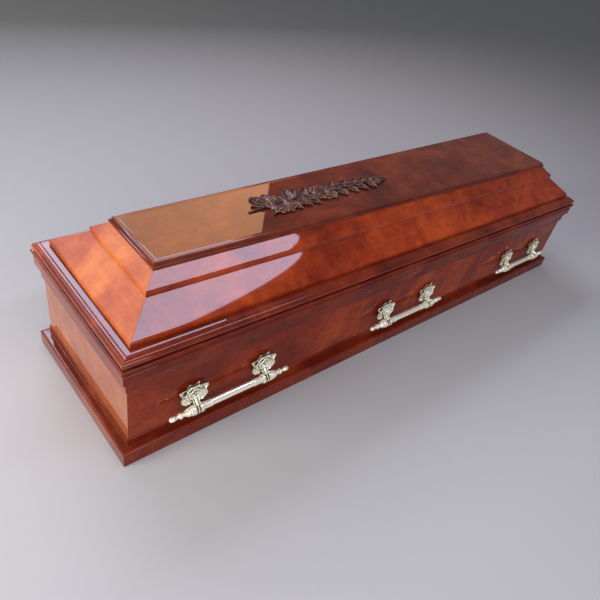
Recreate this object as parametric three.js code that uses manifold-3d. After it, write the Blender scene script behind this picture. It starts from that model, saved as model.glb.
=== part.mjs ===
// A lacquered wooden coffin with a hipped lid, a carved rose spray on the lid and six bar handles.
// Millimetres, +Z up, +X from the foot end to the head end, -Y the front side, origin on the floor.
import * as THREE from 'three';
import * as BufferGeometryUtils from 'three/addons/utils/BufferGeometryUtils.js';
import Module from 'manifold-3d';

// Plan of the plinth, which is wider at the head than at the foot
const LENGTH = 1950;
const FOOT_WIDTH = 484;
const HEAD_WIDTH = 590;

// Working gaps
const JOINT_GAP = 0.3;
const MITRE_SHIFT = 0.22;
const BAR_GAP = 0.4;

// Body boards
const FLOOR_THICKNESS = 18;
const WALL_THICKNESS = 20;
const WALL_TOP = 318;
const PLINTH_STEP = 22;
const PLINTH_HEIGHT = 44;
const PLINTH_ROUND = 6;
const SKIRTING_TOP = 70;
const SKIRTING_REBATE = 3;

// Moulding under the lid, on the outside of the wall
const RIM_HEIGHT = 82;
const RIM_BAND = 9;
const RIM_COVE_HEIGHT = 30;
const RIM_FACE_HEIGHT = 22;
const RIM_FILLET = 1;
const RIM_LIP = 9;
const RIM_LIP_SLOPE = 2;
const RIM_OUT = 19;
const RIM_FACE_OUT = 13;

// Lid
const LID_SET_IN = 7;
const LID_FRAME_THICKNESS = 25;
const LID_FRAME_WIDTH = 56;
const LID_SHADOW_GAP = 4;
const LID_SHADOW_DEPTH = 9;
const LID_EDGE_RUN = 15;
const LID_EDGE_CHAMFER = 2;
const LID_RIDGE_DROP = 3;
const LID_BORDER = 17;
const BOARD_THICKNESS = 16;
const BOARD_ROUND = 6;
const LOWER_EDGE = 12;
const LOWER_RUN = 70;
const LOWER_RISE = 49;
const UPPER_EDGE = 12;
const UPPER_RUN = 34;
const UPPER_RISE = 25;
const TOP_THICKNESS = 16;
const TOP_OVERHANG = 2.5;
const TOP_BAND = 8;
const TOP_GROOVE = 2;
const TOP_BEAD_RUN = 11;
const TOP_BEAD_RISE = 3.5;

// Handles: the castings are the same on both sides
const HANDLE_SPACING = 0.354 * LENGTH;
const MIDDLE_HANDLE_SHIFT = -12;
const HANDLE_HEIGHT = 111;
const BAR_STAND_OFF = 30;
const BAR_RADIUS = 8.5;
const BAR_SIDES = 8;
const FERRULE_RADIUS = 9.7;
const FERRULE_LENGTH = 26;
const BRACKET_SPACING = 204;
const COLLAR_WIDTH = 26;
const COLLAR_WALL = 4.5;
const COLLAR_RING = 7;
const COLLAR_WAIST = 1.6;
const FINIAL_LENGTH = 61;
const FINIAL_SIDES = 7;
const ROSE_RISE = 40;
const ROSE_RADIUS = 37;
const ROSE_DEPTH = 20;
const ROSE_HEAD = 0.66 * ROSE_RADIUS;
const ROSE_PETALS = 5;
const STRAP_WIDTH = 13;
const STRAP_THICKNESS = 8;

// Rose spray on the lid: one carving, so its width and depth follow its length
const SPRAY_LENGTH = 532;
const SPRAY_WIDTH = 0.19 * SPRAY_LENGTH;
const SPRAY_DEPTH = 0.017 * SPRAY_LENGTH;
const SPRAY_CENTRE_X = -0.128 * LENGTH;

const QUARTER_TURN = Math.PI / 2;
const HALF_TURN = Math.PI;
const FULL_TURN = 2 * Math.PI;
const COVE_STEPS = 4;
const ROUND_STEPS = 4;

const wasm = await Module();
wasm.setup();

const WOOD = { color: 0x6e2413, roughness: 0.18, metalness: 0 };
const CARVED_WOOD = { color: 0x4a1d12, roughness: 0.35, metalness: 0 };
const BRASS = { color: 0xd8cf9c, roughness: 0.25, metalness: 1 };

const coffin = new THREE.Group();

function addPiece(parent, name, geometry, finish) {
  const mesh = new THREE.Mesh(geometry, new THREE.MeshStandardMaterial(finish));
  mesh.name = name;
  parent.add(mesh);
}

// Closed solids and joining

function fromTriangles(positions, index) {
  const geometry = new THREE.BufferGeometry();
  geometry.setAttribute('position', new THREE.Float32BufferAttribute(positions, 3));
  geometry.setIndex(index);
  return geometry;
}

function signedVolume(positions, index) {
  const a = new THREE.Vector3();
  const b = new THREE.Vector3();
  const c = new THREE.Vector3();
  let sum = 0;
  for (let i = 0; i < index.length; i += 3) {
    a.fromArray(positions, 3 * index[i]);
    b.fromArray(positions, 3 * index[i + 1]);
    c.fromArray(positions, 3 * index[i + 2]);
    sum += a.dot(b.cross(c)) / 6;
  }
  return sum;
}

function facingOut(positions, index) {
  if (signedVolume(positions, index) > 0) {
    return fromTriangles(positions, index);
  }
  const turned = [];
  for (let i = 0; i < index.length; i += 3) {
    turned.push(index[i], index[i + 2], index[i + 1]);
  }
  return fromTriangles(positions, turned);
}

function bareVertices(geometry) {
  const bare = geometry.clone();
  bare.deleteAttribute('normal');
  bare.deleteAttribute('uv');
  return BufferGeometryUtils.mergeVertices(bare, 1e-3);
}

function facedOut(geometry) {
  const merged = bareVertices(geometry);
  return facingOut(Array.from(merged.attributes.position.array), Array.from(merged.index.array));
}

function toSolid(geometry) {
  const merged = bareVertices(geometry);
  const vertProperties = new Float32Array(merged.attributes.position.array);
  const triVerts = new Uint32Array(merged.index.array);
  return new wasm.Manifold(new wasm.Mesh({ numProp: 3, vertProperties, triVerts }));
}

function toGeometry(solid) {
  const mesh = solid.getMesh();
  return fromTriangles(Array.from(mesh.vertProperties), Array.from(mesh.triVerts));
}

function joined(geometries) {
  return geometries.map(toSolid).reduce((whole, next) => whole.add(next));
}

// Plan of the box: the corner between an end and a side, set out from the plinth line

const TAPER = (HEAD_WIDTH - FOOT_WIDTH) / (2 * LENGTH);
const MEAN_HALF_WIDTH = (HEAD_WIDTH + FOOT_WIDTH) / 4;
const SIDE_STRETCH = Math.hypot(1, TAPER);

function cornerAt(endSign, sideSign, out) {
  const x = endSign * (LENGTH / 2 + out);
  const y = sideSign * (MEAN_HALF_WIDTH + TAPER * x + out * SIDE_STRETCH);
  return new THREE.Vector2(x, y);
}

const SIDES = [
  { name: 'front', from: [-1, -1], to: [1, -1] },
  { name: 'head', from: [1, -1], to: [1, 1] },
  { name: 'back', from: [1, 1], to: [-1, 1] },
  { name: 'foot', from: [-1, 1], to: [-1, -1] },
];

// One mitred length of a moulding or board, from its profile of [out, height] points
function mitredLength(side, profile) {
  const positions = [];
  const ends = [side.from, side.to];
  const along = cornerAt(...side.to, 0).sub(cornerAt(...side.from, 0)).normalize();
  ends.forEach((end, i) => {
    const shift = i === 0 ? MITRE_SHIFT : -MITRE_SHIFT;
    for (const [out, height] of profile) {
      const corner = cornerAt(...end, out).addScaledVector(along, shift);
      positions.push(corner.x, corner.y, height);
    }
  });
  const count = profile.length;
  const outline = profile.map(([out, height]) => new THREE.Vector2(out, height));
  const index = [];
  for (const [a, b, c] of THREE.ShapeUtils.triangulateShape(outline, [])) {
    index.push(a, b, c, count + a, count + c, count + b);
  }
  const turn = THREE.ShapeUtils.isClockWise(outline) ? -1 : 1;
  for (let i = 0; i < count; i += 1) {
    const next = (i + 1) % count;
    if (turn > 0) {
      index.push(i, count + i, next, next, count + i, count + next);
    } else {
      index.push(i, next, count + i, next, count + next, count + i);
    }
  }
  return facingOut(positions, index);
}

function addMitredFrame(baseName, profile) {
  for (const side of SIDES) {
    addPiece(coffin, `${side.name}_${baseName}`, mitredLength(side, profile), WOOD);
  }
}

// A full board whose edge follows [out, height] points from its underside to its top
function board(edge) {
  const positions = [];
  const plan = [[-1, -1], [1, -1], [1, 1], [-1, 1]];
  for (const [out, height] of edge) {
    for (const [endSign, sideSign] of plan) {
      const corner = cornerAt(endSign, sideSign, out);
      positions.push(corner.x, corner.y, height);
    }
  }
  const index = [0, 2, 1, 0, 3, 2];
  const last = 4 * (edge.length - 1);
  index.push(last, last + 1, last + 2, last, last + 2, last + 3);
  for (let ring = 0; ring < last; ring += 4) {
    for (let i = 0; i < 4; i += 1) {
      const next = (i + 1) % 4;
      index.push(ring + i, ring + next, ring + 4 + i, ring + next, ring + 4 + next, ring + 4 + i);
    }
  }
  return facingOut(positions, index);
}

// Points of a round from one angle to another, in [out, height]
function round(centreOut, centreHeight, radius, fromDegrees, toDegrees, steps) {
  const points = [];
  for (let i = 0; i <= steps; i += 1) {
    const angle = THREE.MathUtils.degToRad(fromDegrees + ((toDegrees - fromDegrees) * i) / steps);
    points.push([centreOut + radius * Math.cos(angle), centreHeight + radius * Math.sin(angle)]);
  }
  return points;
}

// Body: the walls stand on the floor board, inside the plinth and the rim mouldings

const WALL_OUT = -PLINTH_STEP;
const WALL_IN = WALL_OUT - WALL_THICKNESS;
const MOULDING_BACK = WALL_OUT + JOINT_GAP;

function addFloor() {
  const edge = [[WALL_OUT, 0], [WALL_OUT, FLOOR_THICKNESS]];
  addPiece(coffin, 'floor_board', board(edge), WOOD);
}

function addWalls() {
  const bottom = FLOOR_THICKNESS + JOINT_GAP;
  const profile = [[WALL_IN, bottom], [WALL_OUT, bottom], [WALL_OUT, WALL_TOP], [WALL_IN, WALL_TOP]];
  addMitredFrame('wall', profile);
}

function addPlinth() {
  const skirtingOut = WALL_OUT + SKIRTING_REBATE;
  const profile = [
    [MOULDING_BACK, 0],
    [0, 0],
    ...round(-PLINTH_ROUND, PLINTH_HEIGHT - PLINTH_ROUND, PLINTH_ROUND, 0, 90, ROUND_STEPS),
    [skirtingOut, PLINTH_HEIGHT],
    [skirtingOut, SKIRTING_TOP - SKIRTING_REBATE / 2],
    [MOULDING_BACK, SKIRTING_TOP],
  ];
  addMitredFrame('plinth_moulding', profile);
}

const RIM_TOP = WALL_TOP + JOINT_GAP;

// Quarter of an ellipse from one [out, height] point to another, leaving the first one upright
function quarter(from, to, steps) {
  const points = [];
  for (let i = 1; i <= steps; i += 1) {
    const angle = (i / steps) * QUARTER_TURN;
    const out = from[0] + (to[0] - from[0]) * (1 - Math.cos(angle));
    points.push([out, from[1] + (to[1] - from[1]) * Math.sin(angle)]);
  }
  return points;
}

function addRim() {
  const bottom = RIM_TOP - RIM_HEIGHT;
  const coveBottom = bottom + RIM_BAND;
  const faceBottom = coveBottom + RIM_COVE_HEIGHT;
  const faceTop = faceBottom + RIM_FACE_HEIGHT;
  const bandOut = WALL_OUT + RIM_BAND / 2;
  const faceOut = WALL_OUT + RIM_FACE_OUT;
  const lipOut = WALL_OUT + RIM_OUT;
  const lipCentre = RIM_TOP - RIM_LIP / 2;
  const profile = [
    [MOULDING_BACK, bottom],
    [bandOut, bottom],
    [bandOut, coveBottom],
    ...quarter([bandOut, coveBottom], [faceOut, faceBottom - RIM_LIP / 3], COVE_STEPS),
    [faceOut + RIM_FILLET, faceBottom],
    [faceOut + RIM_FILLET, faceTop],
    [faceOut - RIM_FILLET, faceTop + RIM_LIP / 3],
    [lipOut - RIM_LIP_SLOPE, RIM_TOP - RIM_LIP],
    ...round(lipOut - RIM_LIP / 2, lipCentre, RIM_LIP / 2, -60, 90, ROUND_STEPS),
    [MOULDING_BACK, RIM_TOP],
  ];
  addMitredFrame('rim_moulding', profile);
}

// Lid: a frame that rests on the rim, two rings of sloping boards and the top board

const LID_BOTTOM = RIM_TOP + JOINT_GAP;
const LID_OUT = -LID_SET_IN;
const FRAME_TOP = LID_BOTTOM + LID_FRAME_THICKNESS;
const RIDGE_OUT = LID_OUT - LID_EDGE_RUN;
const LOWER_OUT = RIDGE_OUT - LID_BORDER;
const LOWER_BOTTOM = FRAME_TOP + JOINT_GAP;
const UPPER_OUT = LOWER_OUT - LOWER_RUN;
const UPPER_BOTTOM = LOWER_BOTTOM + LOWER_EDGE + LOWER_RISE + JOINT_GAP;
const TOP_BOTTOM = UPPER_BOTTOM + UPPER_EDGE + UPPER_RISE + JOINT_GAP;
const TOP_OUT = UPPER_OUT - UPPER_RUN + TOP_OVERHANG;
const LID_TOP = TOP_BOTTOM + TOP_THICKNESS;

function addLidFrame() {
  const shadowTop = LID_BOTTOM + LID_SHADOW_GAP;
  const edgeStart = shadowTop + LID_EDGE_CHAMFER;
  const inner = LID_OUT - LID_FRAME_WIDTH;
  const profile = [
    [inner, LID_BOTTOM],
    [LID_OUT - LID_SHADOW_DEPTH, LID_BOTTOM],
    [LID_OUT - LID_SHADOW_DEPTH, shadowTop],
    [LID_OUT - LID_EDGE_CHAMFER / 2, shadowTop],
    [LID_OUT, edgeStart],
    ...quarter([LID_OUT, edgeStart], [RIDGE_OUT, FRAME_TOP - LID_RIDGE_DROP], COVE_STEPS),
    [RIDGE_OUT - LID_RIDGE_DROP / 2, FRAME_TOP],
    [inner, FRAME_TOP],
  ];
  addMitredFrame('lid_frame', profile);
}

// Sloping board with an upright, rounded lower edge and level cuts at its foot and its top
function slopingProfile(out, bottom, edge, run, rise) {
  const slope = Math.atan2(rise, run);
  const levelCut = BOARD_THICKNESS / Math.sin(slope);
  const top = bottom + edge + rise;
  const innerTop = out - run - levelCut;
  const innerBottom = innerTop + (top - bottom) / Math.tan(slope);
  const reach = BOARD_ROUND * Math.tan((QUARTER_TURN - slope) / 2);
  const turn = 90 - THREE.MathUtils.radToDeg(slope);
  return [
    [innerBottom, bottom],
    [out, bottom],
    ...round(out - BOARD_ROUND, bottom + edge - reach, BOARD_ROUND, 0, turn, ROUND_STEPS),
    [out - run, top],
    [innerTop, top],
  ];
}

function addSlopes() {
  addMitredFrame('lower_slope', slopingProfile(LOWER_OUT, LOWER_BOTTOM, LOWER_EDGE, LOWER_RUN, LOWER_RISE));
  addMitredFrame('upper_slope', slopingProfile(UPPER_OUT, UPPER_BOTTOM, UPPER_EDGE, UPPER_RUN, UPPER_RISE));
}

function addTopBoard() {
  const bandCentre = TOP_OUT - TOP_BAND / 2;
  const beadStart = bandCentre - TOP_GROOVE;
  const edge = [
    [TOP_OUT - TOP_GROOVE, TOP_BOTTOM],
    ...round(bandCentre, TOP_BOTTOM + TOP_BAND / 2, TOP_BAND / 2, -60, 75, ROUND_STEPS),
    [bandCentre - TOP_GROOVE / 2, TOP_BOTTOM + TOP_BAND],
    [beadStart, LID_TOP - TOP_BEAD_RISE],
    [beadStart - TOP_BEAD_RUN / 2, LID_TOP - TOP_BEAD_RISE / 3],
    [beadStart - TOP_BEAD_RUN, LID_TOP],
  ];
  addPiece(coffin, 'top_board', board(edge), WOOD);
}

// Carved leaf: a low lozenge along +X from the origin, with a ridge, its tip raised by lift
function blade(length, width, depth, lift) {
  const geometry = new THREE.SphereGeometry(1, 4, 2);
  geometry.rotateZ(-QUARTER_TURN);
  const position = geometry.attributes.position;
  for (let i = 0; i < position.count; i += 1) {
    const along = ((position.getX(i) + 1) / 2) ** 1.3;
    const height = position.getZ(i) * (depth / 2) + lift * along;
    position.setXYZ(i, along * length, position.getY(i) * (width / 2), height);
  }
  return facedOut(geometry);
}

// Rings of an open rose from its flat back up to the bud, as shares of its radius and depth
const ROSE_RINGS = [
  { reach: 1, height: 0, lobe: 0.12, phase: 0 },
  { reach: 1, height: 0.35, lobe: 0.12, phase: 0 },
  { reach: 0.7, height: 0.65, lobe: 0.1, phase: 0 },
  { reach: 0.58, height: 0.5, lobe: 0.1, phase: 0.5 },
  { reach: 0.34, height: 0.95, lobe: 0.08, phase: 0.5 },
  { reach: 0.18, height: 0.7, lobe: 0, phase: 0 },
];

// Open rose on a flat back, facing +Z
function rose(radius, depth, petals) {
  const sectors = petals * 2;
  const positions = [];
  for (const ring of ROSE_RINGS) {
    for (let i = 0; i < sectors; i += 1) {
      const angle = (i / sectors) * FULL_TURN;
      const lobe = Math.cos(petals * angle + ring.phase * FULL_TURN);
      const reach = radius * (ring.reach + ring.lobe * lobe);
      positions.push(reach * Math.cos(angle), reach * Math.sin(angle), depth * ring.height);
    }
  }
  const under = positions.push(0, 0, 0) / 3 - 1;
  const bud = positions.push(0, 0, depth) / 3 - 1;
  const index = [];
  const lastRing = (ROSE_RINGS.length - 1) * sectors;
  for (let i = 0; i < sectors; i += 1) {
    const next = (i + 1) % sectors;
    index.push(under, next, i, bud, lastRing + i, lastRing + next);
    for (let ring = 0; ring < lastRing; ring += sectors) {
      index.push(ring + i, ring + next, ring + sectors + i);
      index.push(ring + next, ring + sectors + next, ring + sectors + i);
    }
  }
  return facingOut(positions, index);
}

// Bar of oval section bent along points
function rodAlong(points, width, thickness, sides, steps) {
  const outline = new THREE.Shape();
  for (let i = 0; i < sides; i += 1) {
    const angle = (i / sides) * FULL_TURN;
    const point = [(thickness / 2) * Math.cos(angle), (thickness / 2) * Math.sin(angle)];
    if (i === 0) {
      outline.moveTo(...point);
    } else {
      outline.lineTo(...point);
    }
  }
  outline.closePath();
  const path = new THREE.CatmullRomCurve3(points);
  const rod = new THREE.ExtrudeGeometry(outline, { extrudePath: path, steps, bevelEnabled: false });
  rod.scale(width / thickness, 1, 1);
  return facedOut(rod);
}

// Handle, set out from the wall: X along the bar, Y away from the wall, Z up from the bar's axis

function lathedAlongX(profile, sides) {
  const points = profile.map(([radius, along]) => new THREE.Vector2(radius, along));
  const geometry = new THREE.LatheGeometry(points, sides);
  geometry.rotateZ(-QUARTER_TURN);
  return facedOut(geometry);
}

function barGeometry() {
  const half = (BRACKET_SPACING + COLLAR_WIDTH) / 2;
  const ferruleEnd = half - COLLAR_WIDTH - JOINT_GAP;
  const ferruleStart = ferruleEnd - FERRULE_LENGTH;
  const profile = [
    [0, -half],
    [BAR_RADIUS, -half],
    [BAR_RADIUS, -ferruleEnd],
    [FERRULE_RADIUS, -ferruleEnd],
    [FERRULE_RADIUS, -ferruleStart],
    [BAR_RADIUS, -ferruleStart],
    [BAR_RADIUS, ferruleStart],
    [FERRULE_RADIUS, ferruleStart],
    [FERRULE_RADIUS, ferruleEnd],
    [BAR_RADIUS, ferruleEnd],
    [BAR_RADIUS, half],
    [0, half],
  ];
  return lathedAlongX(profile, BAR_SIDES).translate(0, BAR_STAND_OFF, 0);
}

// Turned end of the bar, as shares of the bar's radius and the finial's length: cup, bead and olive
const FINIAL_TURNING = [
  [1.4, 0],
  [1.4, 0.1],
  [1.15, 0.22],
  [0.7, 0.42],
  [0.92, 0.52],
  [0.5, 0.62],
  [0.7, 0.76],
  [0.55, 0.9],
  [0.25, 1],
];

function finialGeometry(sign) {
  const start = (BRACKET_SPACING + COLLAR_WIDTH) / 2 + JOINT_GAP;
  const profile = [[0, 0]];
  for (const [share, stop] of FINIAL_TURNING) {
    profile.push([share * BAR_RADIUS, stop * FINIAL_LENGTH]);
  }
  profile.push([0, FINIAL_LENGTH]);
  const geometry = lathedAlongX(profile, FINIAL_SIDES);
  if (sign < 0) {
    geometry.rotateZ(HALF_TURN);
  }
  return geometry.translate(sign * start, BAR_STAND_OFF, 0);
}

// Leaves between the petals of the cast rose, in degrees from the direction along the bar
const CAST_LEAF_TURNS = [-38, 18, 162, 218];
const LOWEST_PETAL_TURN = -QUARTER_TURN;

function castRose() {
  const pieces = [rose(ROSE_HEAD, ROSE_DEPTH, ROSE_PETALS).rotateZ(LOWEST_PETAL_TURN)];
  const start = ROSE_HEAD / 2;
  for (const degrees of CAST_LEAF_TURNS) {
    const turn = THREE.MathUtils.degToRad(degrees);
    const leaf = blade(ROSE_RADIUS - start, ROSE_RADIUS / 2, ROSE_DEPTH / 3, ROSE_DEPTH / 6);
    leaf.rotateZ(turn);
    leaf.translate(start * Math.cos(turn), start * Math.sin(turn), ROSE_DEPTH / 5);
    pieces.push(leaf);
  }
  for (const piece of pieces) {
    piece.rotateX(-QUARTER_TURN);
    piece.scale(1, 1, -1);
    piece.translate(0, 0, ROSE_RISE);
  }
  return pieces;
}

function collarGeometry() {
  const inner = BAR_RADIUS + BAR_GAP;
  const outer = BAR_RADIUS + COLLAR_WALL;
  const waist = outer - COLLAR_WAIST;
  const half = COLLAR_WIDTH / 2;
  const ringEnd = half - COLLAR_RING;
  const profile = [
    [inner, -half],
    [outer, -half],
    [outer, -ringEnd],
    [waist, -ringEnd],
    [waist, ringEnd],
    [outer, ringEnd],
    [outer, half],
    [inner, half],
    [inner, -half],
  ];
  return lathedAlongX(profile, BAR_SIDES).translate(0, BAR_STAND_OFF, 0);
}

function strapGeometry() {
  const points = [
    new THREE.Vector3(0, ROSE_DEPTH / 2, 0.9 * ROSE_RISE),
    new THREE.Vector3(0, 0.8 * BAR_STAND_OFF, ROSE_RISE / 2),
    new THREE.Vector3(0, BAR_STAND_OFF, BAR_RADIUS + COLLAR_WALL / 2),
  ];
  return rodAlong(points, STRAP_WIDTH, STRAP_THICKNESS, 6, 3);
}

// Cast bracket: the rose on the wall and a strap from its middle to the collar round the bar
function bracketGeometry() {
  const inner = BAR_RADIUS + BAR_GAP;
  const bore = lathedAlongX(
    [[0, -COLLAR_WIDTH], [inner, -COLLAR_WIDTH], [inner, COLLAR_WIDTH], [0, COLLAR_WIDTH]],
    BAR_SIDES,
  ).translate(0, BAR_STAND_OFF, 0);
  const reach = 6 * ROSE_RADIUS;
  const wall = new THREE.BoxGeometry(reach, ROSE_DEPTH, reach);
  wall.translate(0, JOINT_GAP - ROSE_DEPTH / 2, ROSE_RISE);
  return joined([...castRose().map(facedOut), strapGeometry(), collarGeometry()])
    .subtract(toSolid(bore))
    .subtract(toSolid(wall));
}

const HANDLE_PLACES = [
  { name: 'foot', x: -HANDLE_SPACING },
  { name: 'middle', x: MIDDLE_HANDLE_SHIFT },
  { name: 'head', x: HANDLE_SPACING },
];
const HANDLE_SIDES = [
  { name: 'front', sign: -1, turn: HALF_TURN - Math.atan(TAPER) },
  { name: 'back', sign: 1, turn: Math.atan(TAPER) },
];

function addHandle(side, place, bracket) {
  const handle = new THREE.Group();
  const y = side.sign * (MEAN_HALF_WIDTH + TAPER * place.x + WALL_OUT * SIDE_STRETCH);
  handle.position.set(place.x, y, HANDLE_HEIGHT);
  handle.rotation.z = side.turn;
  const name = `${side.name}_${place.name}_handle`;
  addPiece(handle, `${name}_bar`, barGeometry(), BRASS);
  for (const end of [-1, 1]) {
    const endName = end === side.sign ? 'head' : 'foot';
    const casting = bracket.clone().translate((end * BRACKET_SPACING) / 2, 0, 0);
    addPiece(handle, `${name}_${endName}_bracket`, casting, BRASS);
    addPiece(handle, `${name}_${endName}_finial`, finialGeometry(end), BRASS);
  }
  coffin.add(handle);
}

function addHandles() {
  const bracket = toGeometry(bracketGeometry());
  for (const side of HANDLE_SIDES) {
    for (const place of HANDLE_PLACES) {
      addHandle(side, place, bracket);
    }
  }
}

// Places on the spray, as shares of its half length and its width
const SPRAY_LEAF_STATIONS = [-0.78, -0.42, -0.24, 0.16, 0.34, 0.5, 0.66];
const SPRAY_ROSES = [
  { along: -0.62, across: -0.1, radius: 0.4 },
  { along: -0.02, across: -0.02, radius: 0.35 },
  { along: 0.82, across: -0.04, radius: 0.19 },
];

function sprayLeaf(along, sideSign, size) {
  const length = 0.5 * SPRAY_WIDTH * size;
  const leaf = blade(length, 0.55 * length, 1.5 * SPRAY_DEPTH, 0);
  leaf.rotateZ(sideSign * 0.95);
  return leaf.translate(along, -0.04 * SPRAY_WIDTH, 0);
}

// Rose spray: a stem on a low bed, two open roses, a bud and leaves that grow smaller to the head
function addRoseSpray() {
  const half = SPRAY_LENGTH / 2;
  const bed = new THREE.SphereGeometry(1, 8, 6);
  bed.scale(0.9 * half, 0.2 * SPRAY_WIDTH, SPRAY_DEPTH / 2);
  const stem = new THREE.CylinderGeometry(SPRAY_DEPTH / 3, SPRAY_DEPTH / 3, 0.5 * half, 6);
  stem.rotateZ(QUARTER_TURN);
  stem.translate(-0.745 * half, -0.04 * SPRAY_WIDTH, SPRAY_DEPTH / 5);
  const tip = blade(0.3 * half, 0.3 * SPRAY_WIDTH, SPRAY_DEPTH, 0).translate(0.69 * half, 0, 0);
  const parts = [facedOut(bed), facedOut(stem), tip];
  for (const station of SPRAY_LEAF_STATIONS) {
    const size = 1 - 0.16 * (1 + station);
    parts.push(sprayLeaf(station * half, 1, size), sprayLeaf(station * half, -1, size));
  }
  for (const { along, across, radius } of SPRAY_ROSES) {
    const head = rose(radius * SPRAY_WIDTH, SPRAY_DEPTH, ROSE_PETALS);
    parts.push(head.translate(along * half, across * SPRAY_WIDTH, 0));
  }
  const under = new THREE.BoxGeometry(2 * SPRAY_LENGTH, 4 * SPRAY_WIDTH, 4 * SPRAY_DEPTH);
  under.translate(0, 0, -2 * SPRAY_DEPTH);
  const geometry = toGeometry(joined(parts).subtract(toSolid(under)));
  geometry.translate(SPRAY_CENTRE_X, 0, LID_TOP + JOINT_GAP);
  addPiece(coffin, 'rose_spray', geometry, CARVED_WOOD);
}

addFloor();
addWalls();
addPlinth();
addRim();
addLidFrame();
addSlopes();
addTopBoard();
addRoseSpray();
addHandles();

export default coffin;
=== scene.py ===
import math

import bmesh
import bpy
from mathutils import Matrix, Vector
from mathutils.bvhtree import BVHTree


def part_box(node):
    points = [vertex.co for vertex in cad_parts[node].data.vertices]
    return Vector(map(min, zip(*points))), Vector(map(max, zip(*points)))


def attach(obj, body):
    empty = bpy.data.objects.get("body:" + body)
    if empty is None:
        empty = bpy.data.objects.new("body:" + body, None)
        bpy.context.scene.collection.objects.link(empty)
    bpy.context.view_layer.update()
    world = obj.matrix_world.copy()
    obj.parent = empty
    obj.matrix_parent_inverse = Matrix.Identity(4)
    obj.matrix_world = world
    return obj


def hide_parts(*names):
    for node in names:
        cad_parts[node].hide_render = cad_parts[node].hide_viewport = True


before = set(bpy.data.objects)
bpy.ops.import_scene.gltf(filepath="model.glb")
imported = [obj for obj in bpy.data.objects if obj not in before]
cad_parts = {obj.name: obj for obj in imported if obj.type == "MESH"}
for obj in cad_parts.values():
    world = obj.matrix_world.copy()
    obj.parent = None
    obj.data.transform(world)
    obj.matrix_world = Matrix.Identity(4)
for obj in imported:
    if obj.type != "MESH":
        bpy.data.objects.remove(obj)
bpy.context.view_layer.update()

# Sides of the box, each from one corner to the next: (sign along X, sign along Y)
SIDES = {
    "front": ((-1, -1), (1, -1)),
    "head": ((1, -1), (1, 1)),
    "back": ((1, 1), (-1, 1)),
    "foot": ((-1, 1), (-1, -1)),
}
WALL_SIDES = {"front": -1, "back": 1}
PLACES = ("foot", "middle", "head")

# Plan of the plinth line, read from the frame
MITRE_SHIFT = 0.00022
PLINTH_LOW, PLINTH_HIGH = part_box("front_plinth_moulding")
HALF_LENGTH = PLINTH_HIGH.x + MITRE_SHIFT
HEAD_HALF_WIDTH = -PLINTH_LOW.y
FOOT_HALF_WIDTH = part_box("foot_plinth_moulding")[1].y + MITRE_SHIFT
TAPER = (HEAD_HALF_WIDTH - FOOT_HALF_WIDTH) / (2 * HALF_LENGTH)
MEAN_HALF_WIDTH = (HEAD_HALF_WIDTH + FOOT_HALF_WIDTH) / 2
STRETCH = math.hypot(1, TAPER)


def corner_at(end_sign, side_sign, out):
    """Corner of the plan, set out from the plinth line."""
    x = end_sign * (HALF_LENGTH + out)
    y = side_sign * (MEAN_HALF_WIDTH + TAPER * x + out * STRETCH)
    return Vector((x, y, 0))


def out_of(node, use_high):
    """How far the high-X face of a node on the head end lies outside the plinth line."""
    low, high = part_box(node)
    return (high.x if use_high else low.x) - HALF_LENGTH


# Levels and set-backs of the boards, read from the frame
PLINTH_TOP = 0.044
SKIRTING_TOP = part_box("front_plinth_moulding")[1].z
WALL_OUT = out_of("head_wall", True)
MOULDING_BACK = WALL_OUT + 0.0003
RIM_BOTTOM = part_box("head_rim_moulding")[0].z
RIM_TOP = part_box("head_rim_moulding")[1].z
RIM_OUT = out_of("head_rim_moulding", True)
LID_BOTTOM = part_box("head_lid_frame")[0].z
LID_FRAME_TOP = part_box("head_lid_frame")[1].z
LID_OUT = out_of("head_lid_frame", True)
LID_FRAME_IN = out_of("head_lid_frame", False)
LOWER_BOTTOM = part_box("head_lower_slope")[0].z
LOWER_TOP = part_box("head_lower_slope")[1].z
LOWER_OUT = out_of("head_lower_slope", True)
UPPER_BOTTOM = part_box("head_upper_slope")[0].z
UPPER_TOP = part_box("head_upper_slope")[1].z
UPPER_OUT = out_of("head_upper_slope", True)
TOP_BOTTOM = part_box("top_board")[0].z
TOP_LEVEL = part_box("top_board")[1].z
TOP_OUT = out_of("top_board", True)

# Sizes of the mouldings' rounds and steps
PLINTH_ROUND = 0.006
SKIRTING_OUT = WALL_OUT + 0.003
RIM_BAND = 0.009
RIM_COVE = 0.030
RIM_FACE = 0.022
RIM_FACE_OUT = WALL_OUT + 0.013
RIM_LIP = 0.009
RIM_STEP = 0.001
LID_SHADOW = 0.006
LID_SHADOW_DEPTH = 0.011
LID_EDGE_RUN = 0.015
LID_ARRIS = 0.003
LID_LIP = 0.002
BOARD_THICKNESS = 0.016
BOARD_EDGE = 0.012
BOARD_ROUND = 0.006
LOWER_RUN = 0.070
UPPER_RUN = 0.034
TOP_BAND = 0.008
TOP_BEAD_RUN = 0.011
MOULDING_SOFT = 0.0008
BOARD_SOFT = 0.0012
ROUND_STEPS = 10
FLAT_MARGIN = 0.0006
SMOOTH_ANGLE = math.radians(35)

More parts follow.
